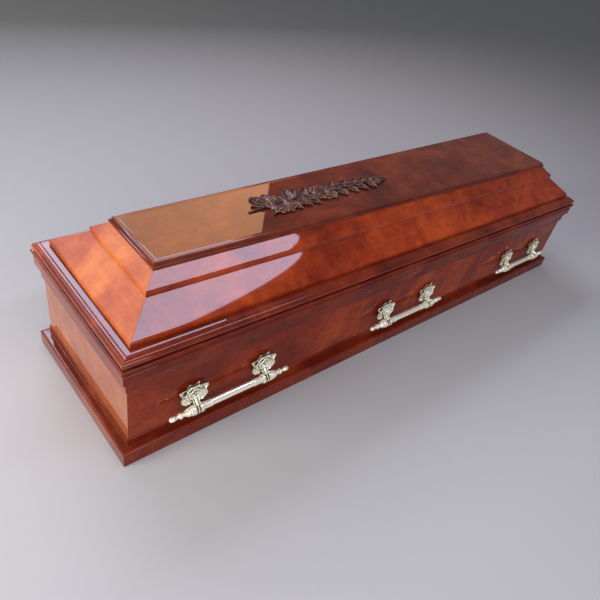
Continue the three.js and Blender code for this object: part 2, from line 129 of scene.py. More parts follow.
# Handles: bar level and thickness read from the frame, the castings' own sizes as in the solids
BAR_LOW, BAR_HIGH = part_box("front_foot_handle_bar")
FERRULE_RADIUS = (BAR_HIGH.z - BAR_LOW.z) / 2
FERRULE_LENGTH = 0.026
BAR_RADIUS = 0.0085
BAR_FLUTES = 8
BAR_HALF = (BAR_HIGH.x - BAR_LOW.x) / 2
BAR_STAND_OFF = 0.030
COLLAR_WIDTH = 0.026
COLLAR_WALL = 0.0045
COLLAR_RING = 0.007
COLLAR_WAIST = 0.0016
COLLAR_BEAD = 0.0019
COLLAR_BEADS = 22
CAST_EDGE = 0.0012
BRACKET_HALF = BAR_HALF - COLLAR_WIDTH / 2
COLLAR_GAP = 0.0004
FINIAL_GAP = 0.0003
FINIAL_LENGTH = 0.061
ROSE_RISE = 0.040
ROSE_RADIUS = 0.037
ROSE_DEPTH = 0.020
ROSE_HEAD = 0.66 * ROSE_RADIUS
CAST_LEAF_TURNS = (-38, 18, 162, 218)
CAST_TIP_TURNS = (68, 112)
LATHE_STEPS = 48
CAST_SMOOTH_ANGLE = math.radians(40)
BAR_SMOOTH_ANGLE = math.radians(24)
RECESS_REACH_METAL = 0.012
RECESS_REACH_WOOD = 0.010

# Rose spray, read from the frame
SPRAY_LOW, SPRAY_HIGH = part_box("rose_spray")
SPRAY_LENGTH = 0.532
SPRAY_WIDTH = 0.19 * SPRAY_LENGTH
SPRAY_DEPTH = SPRAY_HIGH.z - SPRAY_LOW.z
SPRAY_CENTRE_X = -0.128 * 2 * HALF_LENGTH
RECESS_RAYS = 24
RAY_START = 0.0004

# Camera, from the straight edges of the photograph
CAMERA_PLACE = Vector((-1.3005, -0.9583, 1.1968))
CAMERA_HEADING = math.radians(52.487)
CAMERA_DIP = math.radians(37.902)
CAMERA_ROLL = math.radians(16.044)
CAMERA_LENS = 32.575
CAMERA_SENSOR = 36.0
CAMERA_SHIFT = (-0.0583, 0.0)


# Node helpers


def new_material(name):
    material = bpy.data.materials.new(name)
    material.use_nodes = True
    material.node_tree.nodes.clear()
    return material


class Tree:
    """Short calls for adding and joining the nodes of one node tree."""

    def __init__(self, tree):
        self.tree = tree

    def add(self, kind, **values):
        node = self.tree.nodes.new(kind)
        for key, value in values.items():
            setattr(node, key, value)
        return node

    def link(self, source, target):
        self.tree.links.new(source, target)

    def set(self, node, **values):
        for key, value in values.items():
            node.inputs[key.replace("_", " ")].default_value = value

    def mix(self, factor, low, high, blend="MIX"):
        node = self.add("ShaderNodeMix", data_type="RGBA", blend_type=blend)
        self._feed(node.inputs[0], factor)
        self._feed(node.inputs[6], low)
        self._feed(node.inputs[7], high)
        return node.outputs[2]

    def math(self, operation, first, second=0.0):
        node = self.add("ShaderNodeMath", operation=operation)
        self._feed(node.inputs[0], first)
        self._feed(node.inputs[1], second)
        return node.outputs[0]

    def ramp(self, factor, stops, interpolation="LINEAR"):
        node = self.add("ShaderNodeValToRGB")
        node.color_ramp.interpolation = interpolation
        while len(node.color_ramp.elements) < len(stops):
            node.color_ramp.elements.new(0.5)
        for element, (position, colour) in zip(node.color_ramp.elements, stops):
            element.position = position
            element.color = colour if len(colour) == 4 else (*colour, 1)
        self.link(factor, node.inputs[0])
        return node.outputs[0]

    def noise(self, vector, scale, **values):
        """Strength of a noise pattern. scale is a number or a socket."""
        node = self.add("ShaderNodeTexNoise")
        self.set(node, **values)
        self.link(vector, node.inputs["Vector"])
        self._feed(node.inputs["Scale"], scale)
        return node.outputs["Fac"]

    def bump(self, height, strength, distance):
        node = self.add("ShaderNodeBump")
        self.set(node, Strength=strength, Distance=distance)
        self.link(height, node.inputs["Height"])
        return node.outputs["Normal"]

    def surface(self, links, **values):
        """Principled shader with these plain values and these linked sockets, as the material's surface."""
        shader = self.add("ShaderNodeBsdfPrincipled")
        self.set(shader, **values)
        for label, source in links.items():
            self.link(source, shader.inputs[label])
        out = self.add("ShaderNodeOutputMaterial")
        self.link(shader.outputs["BSDF"], out.inputs["Surface"])

    def _feed(self, socket, value):
        if isinstance(value, bpy.types.NodeSocket):
            self.link(value, socket)
        else:
            socket.default_value = value


def new_group(name, inputs, outputs):
    group = bpy.data.node_groups.new(name, "ShaderNodeTree")
    for label, kind, value in inputs:
        socket = group.interface.new_socket(name=label, in_out="INPUT", socket_type=kind)
        if value is not None:
            socket.default_value = value
    for label, kind in outputs:
        group.interface.new_socket(name=label, in_out="OUTPUT", socket_type=kind)
    tree = Tree(group)
    return group, tree, tree.add("NodeGroupInput"), tree.add("NodeGroupOutput")


# Shared surface effects


def make_burl_group():
    """Cloudy mottled veneer under lacquer: big clouds, small eyes and faint grain along one direction."""
    group, t, given, result = new_group(
        "burl figure",
        [
            ("Vector", "NodeSocketVector", None),
            ("Cloud Scale", "NodeSocketFloat", 6.0),
            ("Dark", "NodeSocketColor", (0.08, 0.012, 0.005, 1)),
            ("Middle", "NodeSocketColor", (0.2, 0.035, 0.012, 1)),
            ("Light", "NodeSocketColor", (0.42, 0.1, 0.03, 1)),
        ],
        [("Color", "NodeSocketColor"), ("Height", "NodeSocketFloat")],
    )
    place = given.outputs["Vector"]
    cloud_scale = given.outputs["Cloud Scale"]
    cloud = t.noise(place, cloud_scale, Detail=5.0, Roughness=0.58, Distortion=0.9)
    eye_scale = t.math("MULTIPLY", cloud_scale, 3.7)
    mottle = t.noise(place, eye_scale, Detail=6.0, Roughness=0.66, Distortion=0.8)
    stretch = t.add("ShaderNodeMapping")
    t.set(stretch, Scale=(0.06, 1.0, 1.0))
    t.link(place, stretch.inputs["Vector"])
    grain = t.noise(stretch.outputs["Vector"], 160.0, Detail=3.0, Roughness=0.6)
    blend = t.math("MULTIPLY", cloud, 0.62)
    blend = t.math("ADD", blend, t.math("MULTIPLY", mottle, 0.28))
    blend = t.math("ADD", blend, t.math("MULTIPLY", grain, 0.1))
    low = t.ramp(blend, [(0.34, (0, 0, 0)), (0.52, (1, 1, 1))], "EASE")
    high = t.ramp(blend, [(0.47, (0, 0, 0)), (0.66, (1, 1, 1))], "EASE")
    colour = t.mix(low, given.outputs["Dark"], given.outputs["Middle"])
    colour = t.mix(high, colour, given.outputs["Light"])
    t.link(colour, result.inputs["Color"])
    t.link(grain, result.inputs["Height"])
    return group


def make_handling_group():
    """Fine dust and wiping marks under the clear coat: a slow change of gloss."""
    group, t, given, result = new_group(
        "lacquer wear",
        [
            ("Vector", "NodeSocketVector", None),
            ("Gloss", "NodeSocketFloat", 0.1),
            ("Spread", "NodeSocketFloat", 0.05),
        ],
        [("Roughness", "NodeSocketFloat")],
    )
    haze = t.noise(given.outputs["Vector"], 9.0, Detail=5.0, Roughness=0.6)
    spread = t.math("MULTIPLY", haze, given.outputs["Spread"])
    t.link(t.math("ADD", spread, given.outputs["Gloss"]), result.inputs["Roughness"])
    return group


BURL = make_burl_group()
WEAR = make_handling_group()


def lacquered_wood(name, turn, shift, dark, middle, light, coat, cloud_scale=5.0):
    """High-gloss lacquer over burl veneer. turn lays the grain along the board; shift moves the figure."""
    material = new_material(name)
    t = Tree(material.node_tree)
    place = t.add("ShaderNodeTexCoord")
    mapping = t.add("ShaderNodeMapping")
    t.set(mapping, Location=shift, Rotation=(0, 0, turn))
    t.link(place.outputs["Object"], mapping.inputs["Vector"])
    burl = t.add("ShaderNodeGroup", node_tree=BURL)
    t.set(burl, Cloud_Scale=cloud_scale, Dark=dark, Middle=middle, Light=light)
    t.link(mapping.outputs["Vector"], burl.inputs["Vector"])
    wear = t.add("ShaderNodeGroup", node_tree=WEAR)
    t.set(wear, Gloss=0.16, Spread=0.1)
    t.link(place.outputs["Object"], wear.inputs["Vector"])
    links = {
        "Base Color": burl.outputs["Color"],
        "Roughness": wear.outputs["Roughness"],
        "Normal": t.bump(burl.outputs["Height"], 0.06, 0.0005),
    }
    t.surface(links, Specular_IOR_Level=0.0, Coat_Weight=coat, Coat_Roughness=0.03, Coat_IOR=1.5)
    return material


# Stain of each kind of board: dark clouds, ground and light clouds
STAINS = {
    "wall": ((0.13, 0.011, 0.004), (0.22, 0.022, 0.006), (0.39, 0.056, 0.010)),
    "moulding": ((0.10, 0.010, 0.005), (0.17, 0.017, 0.006), (0.26, 0.036, 0.010)),
    "edge": ((0.11, 0.011, 0.005), (0.19, 0.020, 0.007), (0.30, 0.042, 0.010)),
    "slope": ((0.16, 0.014, 0.004), (0.33, 0.036, 0.007), (0.54, 0.078, 0.012)),
    "top": ((0.08, 0.014, 0.006), (0.145, 0.022, 0.008), (0.25, 0.044, 0.013)),
}
# Painted light: the end boards are painted lighter and more orange, standing for the strong light on the
# foot end
END_LIGHT_LIFT = (0.95, 1.5, 1.7)
END_LIT_STAINS = {
    "wall": ((0.24, 0.036, 0.014), (0.30, 0.052, 0.016), (0.40, 0.080, 0.022)),
    "slope": ((0.22, 0.022, 0.006), (0.40, 0.050, 0.010), (0.58, 0.105, 0.018)),
}
# Where the figure of one board starts, in place of the common rule
FIGURE_PLACES = {("front", "slope"): (0.6, 0.35, 0.2)}
TOP_FIGURE_PLACE = (1.9, 0.4, 0.7)
# The long walls and mouldings are worn a little duller than the lid
LONG_SIDE_COAT = 0.6
FULL_COAT = 1.0
QUARTER = math.pi / 2


def make_wood_materials():
    """One finish for each side and kind of board, so that the grain follows each board."""
    woods = {}
    for i, side in enumerate(SIDES):
        across = side in ("head", "foot")
        # Painted light: boards across the ends get lighter, more orange copies of the stains
        lift = END_LIGHT_LIFT if across else (1, 1, 1)
        for k, kind in enumerate(("wall", "moulding", "edge", "slope")):
            stains = END_LIT_STAINS.get(kind, STAINS[kind]) if across else STAINS[kind]
            dark, middle, light = ((*(a * b for a, b in zip(lift, stain)), 1) for stain in stains)
            shift = FIGURE_PLACES.get((side, kind), (0.37 * i + 0.5 * k, 0.61 * i, 0.23 * i + 0.3 * k))
            duller = kind in ("wall", "moulding") and not across
            coat = LONG_SIDE_COAT if duller else FULL_COAT
            turn = QUARTER if across else 0.0
            name = f"lacquered {side} {kind}"
            woods[side, kind] = lacquered_wood(name, turn, shift, dark, middle, light, coat)
    dark, middle, light = (stain + (1,) for stain in STAINS["top"])
    woods["top"] = lacquered_wood("lacquered top", 0, TOP_FIGURE_PLACE, dark, middle, light, FULL_COAT)
    return woods


def make_inside_wood():
    material = new_material("plain sawn board")
    t = Tree(material.node_tree)
    place = t.add("ShaderNodeTexCoord")
    stretch = t.add("ShaderNodeMapping")
    t.set(stretch, Scale=(1.5, 22.0, 22.0))
    t.link(place.outputs["Object"], stretch.inputs["Vector"])
    grain = t.noise(stretch.outputs["Vector"], 3.0, Detail=9.0, Roughness=0.65, Distortion=0.8)
    stops = [(0.3, (0.16, 0.07, 0.03)), (0.55, (0.3, 0.16, 0.08)), (0.75, (0.4, 0.24, 0.13))]
    links = {"Base Color": t.ramp(grain, stops), "Normal": t.bump(grain, 0.3, 0.0008)}
    t.surface(links, Roughness=0.7)
    return material


def make_handle_metal():
    """Pale gold plating, brighter on the high spots, with painted shade: olive dark in its creases and
    darker still where the casting lies deep.
    """
    material = new_material("pale gold casting")
    t = Tree(material.node_tree)
    depth = t.add("ShaderNodeAttribute", attribute_name="recess")
    place = t.add("ShaderNodeTexCoord")
    tarnish = t.noise(place.outputs["Object"], 60.0, Detail=5.0, Roughness=0.6)
    cast = t.noise(place.outputs["Object"], 900.0, Detail=2.0)
    gold = t.mix(tarnish, (0.96, 0.89, 0.62, 1), (1.0, 0.98, 0.88, 1))
    # Painted shade: near black where short rays meet the casting, olive dark in its creases
    deep = t.ramp(depth.outputs["Fac"], [(0.34, (0, 0, 0)), (0.68, (1, 1, 1))], "EASE")
    crest = t.add("ShaderNodeAttribute", attribute_name="crest")
    crease = t.ramp(crest.outputs["Fac"], [(0.36, (1, 1, 1)), (0.46, (0, 0, 0))], "EASE")
    colour = t.mix(crease, gold, (0.16, 0.14, 0.06, 1))
    colour = t.mix(deep, colour, (0.03, 0.028, 0.01, 1))
    rough = t.math("ADD", t.math("MULTIPLY", tarnish, 0.12), 0.10)
    rough = t.math("ADD", rough, t.math("MULTIPLY", depth.outputs["Fac"], 0.35))
    links = {"Base Color": colour, "Roughness": rough, "Normal": t.bump(cast, 0.12, 0.0003)}
    t.surface(links, Metallic=0.35)
    return material


def make_carving_wood():
    """Carved wood, stained dark, with painted shade near black in the cuts and creases and a painted
    highlight on the high edges.
    """
    material = new_material("carving with painted shade and highlights")
    t = Tree(material.node_tree)
    depth = t.add("ShaderNodeAttribute", attribute_name="recess")
    place = t.add("ShaderNodeTexCoord")
    patch = t.noise(place.outputs["Object"], 45.0, Detail=5.0, Roughness=0.65)
    ground = t.mix(patch, (0.040, 0.014, 0.009, 1), (0.13, 0.045, 0.030, 1))
    crest = t.add("ShaderNodeAttribute", attribute_name="crest")
    # Painted shade in the creases and deep cuts, and a painted highlight along the ridges
    crease = t.ramp(crest.outputs["Fac"], [(0.38, (1, 1, 1)), (0.48, (0, 0, 0))], "EASE")
    painted_ridge_highlight = t.ramp(crest.outputs["Fac"], [(0.56, (0, 0, 0)), (0.74, (1, 1, 1))], "EASE")
    deep = t.ramp(depth.outputs["Fac"], [(0.08, (0, 0, 0)), (0.42, (1, 1, 1))], "EASE")
    colour = t.mix(deep, ground, (0.006, 0.005, 0.003, 1))
    colour = t.mix(painted_ridge_highlight, colour, (0.50, 0.22, 0.15, 1))
    colour = t.mix(crease, colour, (0.005, 0.004, 0.003, 1))
    rough = t.math("ADD", t.math("MULTIPLY", depth.outputs["Fac"], 0.25), 0.38)
    links = {"Base Color": colour, "Roughness": rough}
    t.surface(links, Specular_IOR_Level=0.3, Coat_Weight=0.25, Coat_Roughness=0.2)
    return material


# Mesh helpers


def crest_of(work):
    """How far each point stands proud of its neighbours: 0.5 on a flat, 1 on a spike, 0 in a pit."""
    result = []
    for vertex in work.verts:
        pull = Vector()
        for edge in vertex.link_edges:
            pull += (vertex.co - edge.other_vert(vertex).co).normalized()
        result.append(0.5 + 0.5 * pull.dot(vertex.normal) / max(1, len(vertex.link_edges)))
    return result


def finish_mesh(name, vertices, faces, material, recess=None, angle=SMOOTH_ANGLE, foot=None):
    """Mesh piece. With recess it also holds the crest of each point, which is 0 below the level foot."""
    mesh = bpy.data.meshes.new(name)
    mesh.from_pydata(vertices, [], faces)
    work = bmesh.new()
    work.from_mesh(mesh)
    bmesh.ops.recalc_face_normals(work, faces=work.faces)
    work.normal_update()
    crest = crest_of(work) if recess is not None else None
    work.to_mesh(mesh)
    work.free()
    if foot is not None:
        crest = [0.0 if point.z < foot else value for point, value in zip(vertices, crest)]
    if recess is not None:
        for label, values in (("recess", recess), ("crest", crest)):
            layer = mesh.attributes.new(label, "FLOAT", "POINT")
            layer.data.foreach_set("value", values)
    mesh.shade_smooth()
    mesh.set_sharp_from_angle(angle=angle)
    mesh.materials.append(material)
    piece = bpy.data.objects.new(name, mesh)
    bpy.context.scene.collection.objects.link(piece)
    return piece


def settle(piece, node):
    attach(piece, "root")
    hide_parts(node)


def arc(centre_out, centre_height, radius, start, end, steps=ROUND_STEPS):
    points = []
    for i in range(steps + 1):
        angle = math.radians(start + (end - start) * i / steps)
        points.append((centre_out + radius * math.cos(angle), centre_height + radius * math.sin(angle)))
    return points


def softened(profile, radius):
    """The profile with a small round in place of each sharp outward or inward corner."""
    result = []
    count = len(profile)
    for i, point in enumerate(profile):
        here = Vector(point)
        before = Vector(profile[i - 1]) - here
        after = Vector(profile[(i + 1) % count]) - here
        reach = min(radius, 0.4 * before.length, 0.4 * after.length)
        turn = before.angle(after)
        if turn > math.radians(150) or reach < 0.0002:
            result.append(tuple(here))
            continue
        first = here + before.normalized() * reach
        last = here + after.normalized() * reach
        for step in (0.0, 0.33, 0.67, 1.0):
            bend = first * (1 - step) ** 2 + here * 2 * step * (1 - step) + last * step**2
            result.append(tuple(bend))
    return result


def held_flat(profile):
    """The profile with a point close to each end of its long flats, so that they reflect as flat boards."""
    result = []
    for i, point in enumerate(profile):
        here, there = Vector(point), Vector(profile[(i + 1) % len(profile)])
        run = there - here
        result.append(tuple(here))
        if run.length > 6 * FLAT_MARGIN:
            step = run.normalized() * FLAT_MARGIN
            result += [tuple(here + step), tuple(there - step)]
    return result


def mitred_length(side, profile):
    """Vertices and faces of one mitred length of a moulding with this [out, height] profile."""
    start, end = SIDES[side]
    along = (corner_at(*end, 0) - corner_at(*start, 0)).normalized()
    vertices = []
    for corner, shift in ((start, MITRE_SHIFT), (end, -MITRE_SHIFT)):
        for out, height in profile:
            vertices.append(corner_at(*corner, out) + along * shift + Vector((0, 0, height)))
    count = len(profile)
    faces = [tuple(range(count)), tuple(range(2 * count - 1, count - 1, -1))]
    for i in range(count):
        following = (i + 1) % count
        faces.append((i, following, count + following, count + i))
    return vertices, faces


def add_mitred_frame(base_name, profile, woods, kind, soft=BOARD_SOFT):
    for side in SIDES:
        vertices, faces = mitred_length(side, held_flat(softened(profile, soft)))
        node = f"{side}_{base_name}"
        piece = finish_mesh(f"{node}_lacquered", vertices, faces, woods[side, kind])
        settle(piece, node)


# Boards and mouldings of the body


def add_plinth(woods):
    profile = [
        (MOULDING_BACK, 0),
        (0, 0),
        *arc(-PLINTH_ROUND, PLINTH_TOP - PLINTH_ROUND, PLINTH_ROUND, 0, 90),
        (SKIRTING_OUT, PLINTH_TOP),
        (SKIRTING_OUT, SKIRTING_TOP - 0.0015),
        (MOULDING_BACK, SKIRTING_TOP),
    ]
    add_mitred_frame("plinth_moulding", profile, woods, "moulding")


def add_rim(woods):
    cove_bottom = RIM_BOTTOM + RIM_BAND
    cove_top = cove_bottom + RIM_COVE
    face_top = cove_top + RIM_FACE
    band_out = WALL_OUT + RIM_BAND / 2
    profile = [(MOULDING_BACK, RIM_BOTTOM), (band_out, RIM_BOTTOM), (band_out, cove_bottom)]
    run = RIM_FACE_OUT - band_out
    for i in range(1, ROUND_STEPS + 1):
        angle = i / ROUND_STEPS * QUARTER
        height = cove_bottom + RIM_COVE * math.sin(angle) * 0.9
        profile.append((band_out + run * (1 - math.cos(angle)), height))
    profile += [(RIM_FACE_OUT + RIM_STEP, cove_top), (RIM_FACE_OUT + RIM_STEP, face_top)]
    profile.append((RIM_FACE_OUT - RIM_STEP, face_top + RIM_LIP / 3))
    profile.append((RIM_OUT - 2 * RIM_STEP, RIM_TOP - RIM_LIP))
    profile += arc(RIM_OUT - RIM_LIP / 2, RIM_TOP - RIM_LIP / 2, RIM_LIP / 2, -60, 90)
    profile.append((MOULDING_BACK, RIM_TOP))
    add_mitred_frame("rim_moulding", profile, woods, "moulding", MOULDING_SOFT)


def add_lid_frame(woods):
    shadow_top = LID_BOTTOM + LID_SHADOW
    profile = [
        (LID_FRAME_IN, LID_BOTTOM),
        (LID_OUT - LID_SHADOW_DEPTH, LID_BOTTOM),
        (LID_OUT - LID_SHADOW_DEPTH, shadow_top),
        (LID_OUT - 0.001, shadow_top),
        (LID_OUT, shadow_top + LID_LIP),
    ]
    rise = LID_FRAME_TOP - LID_ARRIS - shadow_top - LID_LIP
    for i in range(1, ROUND_STEPS + 1):
        angle = i / ROUND_STEPS * QUARTER
        out = LID_OUT - LID_EDGE_RUN * (1 - math.cos(angle))
        profile.append((out, shadow_top + LID_LIP + rise * math.sin(angle)))
    profile += arc(LID_OUT - LID_EDGE_RUN - LID_ARRIS, LID_FRAME_TOP - LID_ARRIS, LID_ARRIS, 15, 90, 6)
    profile.append((LID_FRAME_IN, LID_FRAME_TOP))
    add_mitred_frame("lid_frame", profile, woods, "edge", MOULDING_SOFT)


def sloping_profile(out, bottom, top, run):
    """Sloping board with an upright, rounded lower edge and level cuts at its foot and its top."""
    slope = math.atan2(top - bottom - BOARD_EDGE, run)
    level_cut = BOARD_THICKNESS / math.sin(slope)
    inner_top = out - run - level_cut
    inner_bottom = inner_top + (top - bottom) / math.tan(slope)
    reach = BOARD_ROUND * math.tan((QUARTER - slope) / 2)
    start = bottom + BOARD_EDGE - reach
    return [
        (inner_bottom, bottom),
        (out, bottom),
        *arc(out - BOARD_ROUND, start, BOARD_ROUND, 0, 90 - math.degrees(slope)),
        (out - run, top),
        (inner_top, top),
    ]


def add_slopes(woods):
    lower = sloping_profile(LOWER_OUT, LOWER_BOTTOM, LOWER_TOP, LOWER_RUN)
    upper = sloping_profile(UPPER_OUT, UPPER_BOTTOM, UPPER_TOP, UPPER_RUN)
    add_mitred_frame("lower_slope", lower, woods, "slope")
    add_mitred_frame("upper_slope", upper, woods, "slope")


def add_top_board(woods):
    centre = TOP_OUT - TOP_BAND / 2
    bead_start = TOP_OUT - TOP_BAND / 2 - 0.002
    edge = [
        (TOP_OUT - 0.002, TOP_BOTTOM),
        *arc(centre, TOP_BOTTOM + TOP_BAND / 2, TOP_BAND / 2, -60, 75),
        (centre - 0.0015, TOP_BOTTOM + TOP_BAND),
        (bead_start, TOP_LEVEL - 0.0035),
        *arc(bead_start - 0.003, TOP_LEVEL - 0.0035, 0.0034, 20, 80, 6),
        (bead_start - 0.006, TOP_LEVEL - 0.001),
        (bead_start - TOP_BEAD_RUN, TOP_LEVEL),
        (bead_start - TOP_BEAD_RUN - FLAT_MARGIN, TOP_LEVEL),
    ]
    plan = [(-1, -1), (1, -1), (1, 1), (-1, 1)]
    vertices = []
    for out, height in edge:
        for corner in plan:
            vertices.append(corner_at(*corner, out) + Vector((0, 0, height)))
    last = 4 * (len(edge) - 1)
    faces = [(3, 2, 1, 0), (last, last + 1, last + 2, last + 3)]
    for ring in range(0, last, 4):
        for i in range(4):
            following = (i + 1) % 4
            faces.append((ring + i, ring + following, ring + 4 + following, ring + 4 + i))
    piece = finish_mesh("top_board_lacquered", vertices, faces, woods["top"])
    settle(piece, "top_board")


def dress_plain_boards(woods, inside):
    """The walls and the floor keep their solids and get a better finish."""
    for side in SIDES:
        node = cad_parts[f"{side}_wall"]
        node.data.materials.clear()
        node.data.materials.append(woods[side, "wall"])
    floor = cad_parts["floor_board"]
    floor.data.materials.clear()
    floor.data.materials.append(inside)


# Copies round an axis


def make_ring_tree():
    """Geometry Nodes: copies of a piece set round the Z axis, each turned with it."""
    tree = bpy.data.node_groups.new("ring of copies", "GeometryNodeTree")
    tree.is_modifier = True
    tree.interface.new_socket(name="Geometry", in_out="INPUT", socket_type="NodeSocketGeometry")
    count = tree.interface.new_socket(name="Count", in_out="INPUT", socket_type="NodeSocketInt")
    turn = tree.interface.new_socket(name="First Turn", in_out="INPUT", socket_type="NodeSocketFloat")
    finish = tree.interface.new_socket(name="Finish", in_out="INPUT", socket_type="NodeSocketMaterial")
    tree.interface.new_socket(name="Geometry", in_out="OUTPUT", socket_type="NodeSocketGeometry")
    t = Tree(tree)
    given, result = t.add("NodeGroupInput"), t.add("NodeGroupOutput")
    places = t.add("GeometryNodePoints")
    t.link(given.outputs["Count"], places.inputs["Count"])
    number = t.add("GeometryNodeInputIndex")
    step = t.math("DIVIDE", 2 * math.pi, given.outputs["Count"])
    angle = t.math("ADD", t.math("MULTIPLY", number.outputs[0], step), given.outputs["First Turn"])
    about = t.add("ShaderNodeCombineXYZ")
    t.link(angle, about.inputs["Z"])
    copies = t.add("GeometryNodeInstanceOnPoints")
    t.link(places.outputs[0], copies.inputs["Points"])
    t.link(given.outputs["Geometry"], copies.inputs["Instance"])
    t.link(about.outputs[0], copies.inputs["Rotation"])
    real = t.add("GeometryNodeRealizeInstances")
    t.link(copies.outputs[0], real.inputs[0])
    dressed = t.add("GeometryNodeSetMaterial")
    t.link(real.outputs[0], dressed.inputs["Geometry"])
    t.link(given.outputs["Finish"], dressed.inputs["Material"])
    t.link(dressed.outputs[0], result.inputs["Geometry"])
    return tree, count.identifier, turn.identifier, finish.identifier


RING_TREE, RING_COUNT, RING_TURN, RING_FINISH = make_ring_tree()


def ring_of(one, count, turn, finish):
    """Vertices and faces of count copies of the shells in one, set round Z."""
    mesh = bpy.data.meshes.new("one copy")
    mesh.from_pydata(one.vertices, [], one.faces)
    source = bpy.data.objects.new("one copy", mesh)
    bpy.context.scene.collection.objects.link(source)
    ring = source.modifiers.new("ring", "NODES")
    ring.node_group = RING_TREE
    ring[RING_COUNT] = count
    ring[RING_TURN] = turn
    ring[RING_FINISH] = finish
    evaluated = source.evaluated_get(bpy.context.evaluated_depsgraph_get())
    plain = bpy.data.meshes.new_from_object(evaluated)
    vertices = [vertex.co.copy() for vertex in plain.vertices]
    faces = [tuple(face.vertices) for face in plain.polygons]
    bpy.data.objects.remove(source)
    bpy.data.meshes.remove(mesh)
    bpy.data.meshes.remove(plain)
    return vertices, faces


# Closed shells, and how deep each point lies between its neighbours


class Shells:
    """Vertices and faces of the closed shells that together make one piece."""

    def __init__(self):
        self.vertices = []
        self.faces = []

    def add(self, vertices, faces, matrix=None):
        start = len(self.vertices)
        self.vertices += [matrix @ v if matrix else v for v in vertices]
        self.faces += [tuple(start + i for i in face) for face in faces]

    def add_shell(self, top, bottom, matrix=None):
        """Closed shell between two grids of points of the same size."""
        rows, columns = len(top), len(top[0])
        vertices = [point for grid in (top, bottom) for row in grid for point in row]
        under = rows * columns
        faces = []
        for i in range(rows - 1):
            for j in range(columns - 1):
                a = i * columns + j
                faces.append((a, a + 1, a + columns + 1, a + columns))
                faces.append((under + a, under + a + columns, under + a + columns + 1, under + a + 1))
        rim = list(range(columns))
        rim += [i * columns + columns - 1 for i in range(1, rows)]
        rim += [(rows - 1) * columns + j for j in range(columns - 2, -1, -1)]
        rim += [i * columns for i in range(rows - 2, 0, -1)]
        for k, point in enumerate(rim):
            following = rim[(k + 1) % len(rim)]
            faces.append((point, under + point, under + following, following))
        self.add(vertices, faces, matrix)

    def add_sheet(self, rows, columns, pair, matrix=None):
        """Closed shell. pair gives its upper and lower point for u along (0 to 1) and v across (-1 to 1)."""
        top = []
        bottom = []
        for i in range(rows):
            points = [pair(i / (rows - 1), 2 * j / (columns - 1) - 1) for j in range(columns)]
            top.append([upper for upper, lower in points])
            bottom.append([lower for upper, lower in points])
        self.add_shell(top, bottom, matrix)

    def add_lathe(self, profile, steps, closed=False, ripple=None, matrix=None):
        """Solid about X from (along, radius) points. ripple changes the radius round the axis."""
        vertices = []
        faces = []
        for along, radius in profile:
            for j in range(steps):
                angle = 2 * math.pi * j / steps
                reach = radius * (ripple(angle) if ripple else 1.0)
                vertices.append(Vector((along, reach * math.cos(angle), reach * math.sin(angle))))
        rings = len(profile)
        for i in range(rings if closed else rings - 1):
            here, there = i * steps, ((i + 1) % rings) * steps
            for j in range(steps):
                k = (j + 1) % steps
                faces.append((here + j, here + k, there + k, there + j))
        if not closed:
            faces.append(tuple(range(steps)))
            faces.append(tuple(range((rings - 1) * steps, rings * steps)))
        self.add(vertices, faces, matrix)


def recess_of(shells, reach):
    """Share of short rays from each point that meet the piece: near 0 in the open, near 1 in a deep cut."""
    tree = BVHTree.FromPolygons(shells.vertices, shells.faces)
    mesh = bpy.data.meshes.new("probe")
    mesh.from_pydata(shells.vertices, [], shells.faces)
    work = bmesh.new()
    work.from_mesh(mesh)
    bmesh.ops.recalc_face_normals(work, faces=work.faces)
    work.to_mesh(mesh)
    work.free()
    normals = [vertex.normal.copy() for vertex in mesh.vertices]
    bpy.data.meshes.remove(mesh)
    golden = math.pi * (3 - math.sqrt(5))
    rays = []
    for i in range(RECESS_RAYS):
        height = 1 - (i + 0.5) / RECESS_RAYS
        spread = math.sqrt(1 - height * height)
        rays.append(Vector((spread * math.cos(golden * i), spread * math.sin(golden * i), height)))
    result = []
    for point, normal in zip(shells.vertices, normals):
        turn = Vector((0, 0, 1)).rotation_difference(normal)
        start = point + normal * RAY_START
        met = sum(1 for ray in rays if tree.ray_cast(start, turn @ ray, reach)[0] is not None)
        result.append(met / RECESS_RAYS)
    return result


def smoothed(points, steps):
    """Points on an even curve through the given (along, radius) points."""
    result = []
    last = len(points) - 1
    for i in range(last):
        before, here = points[max(i - 1, 0)], points[i]
        there, after = points[i + 1], points[min(i + 2, last)]
        for k in range(steps):
            t = k / steps
            bend = []
            for axis in range(2):
                slope_in = (there[axis] - before[axis]) / 2
                slope_out = (after[axis] - here[axis]) / 2
                bend.append(
                    here[axis] * (2 * t**3 - 3 * t**2 + 1)
                    + slope_in * (t**3 - 2 * t**2 + t)
                    + there[axis] * (3 * t**2 - 2 * t**3)
                    + slope_out * (t**3 - t**2)
                )
            result.append(tuple(bend))
    result.append(points[-1])
    return result


# Carved forms, made flat facing +Z


def petal(shells, inner, outer, half_width, low, high, curl, thickness):
    """Cupped petal from the heart of a rose out to its rim, its sides and rim raised."""

    def pair(u, v):
        rim = 1 - 0.16 * v * v * u - 0.05 * math.cos(3 * math.pi * v) * u
        reach = inner + (outer - inner) * u * rim
        angle = half_width * v * (0.55 + 0.45 * math.sin(u * 2.2))
        climb = math.sin(min(u, 0.86) / 0.86 * QUARTER) ** 1.5
        height = low + (high - low) * climb + 0.12 * (high - low) * v * v
        height -= curl * max(0.0, u - 0.8) ** 2 * 25
        point = Vector((reach * math.cos(angle), reach * math.sin(angle), height))
        return point, point - Vector((0, 0, thickness * (1 - 0.6 * u)))

    shells.add_sheet(9, 11, pair)


